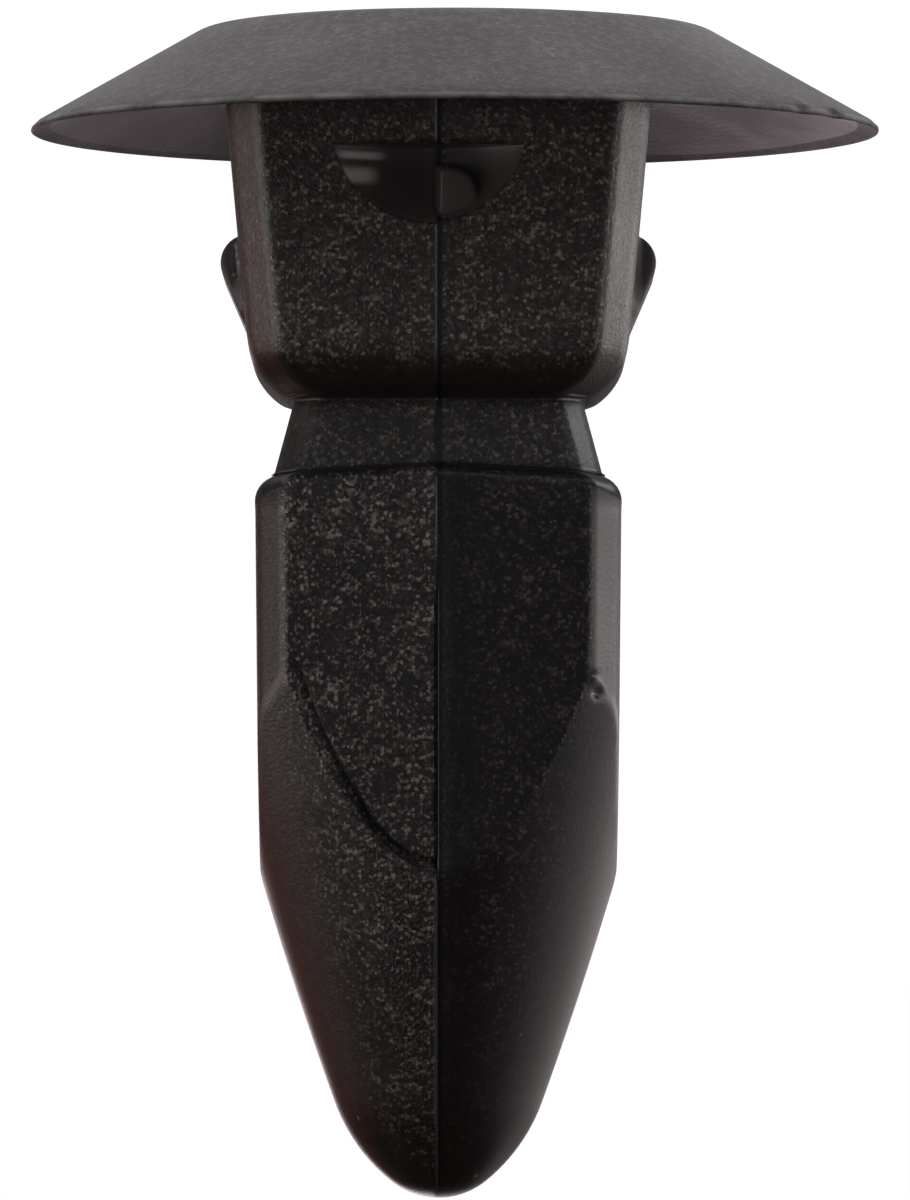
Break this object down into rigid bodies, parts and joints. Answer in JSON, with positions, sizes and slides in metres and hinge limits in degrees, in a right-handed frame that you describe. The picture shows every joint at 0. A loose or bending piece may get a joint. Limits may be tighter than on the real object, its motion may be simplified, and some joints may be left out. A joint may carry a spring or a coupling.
{
  "type": "clip nut",
  "caption": "Push-in plastic clip nut: umbrella head with a screw hole, square plug with side barbs, waisted neck and square shank sharpened to a bullet tip.",
  "frame": {"origin": "centre of the flat face of the head, on the axis of the screw hole", "axes": "+Z along the screw hole from the head to the tip, so the nut stands on its head; the moulding gate faces -Y; the barbs face +X and -X"},
  "size_m": [0.018, 0.018, 0.0248],
  "materials": {
    "nylon": "black nylon, spark-eroded grain"
  },
  "bodies": {
    "root": {"clip_nut": "nylon"}
  },
  "joints": []
}
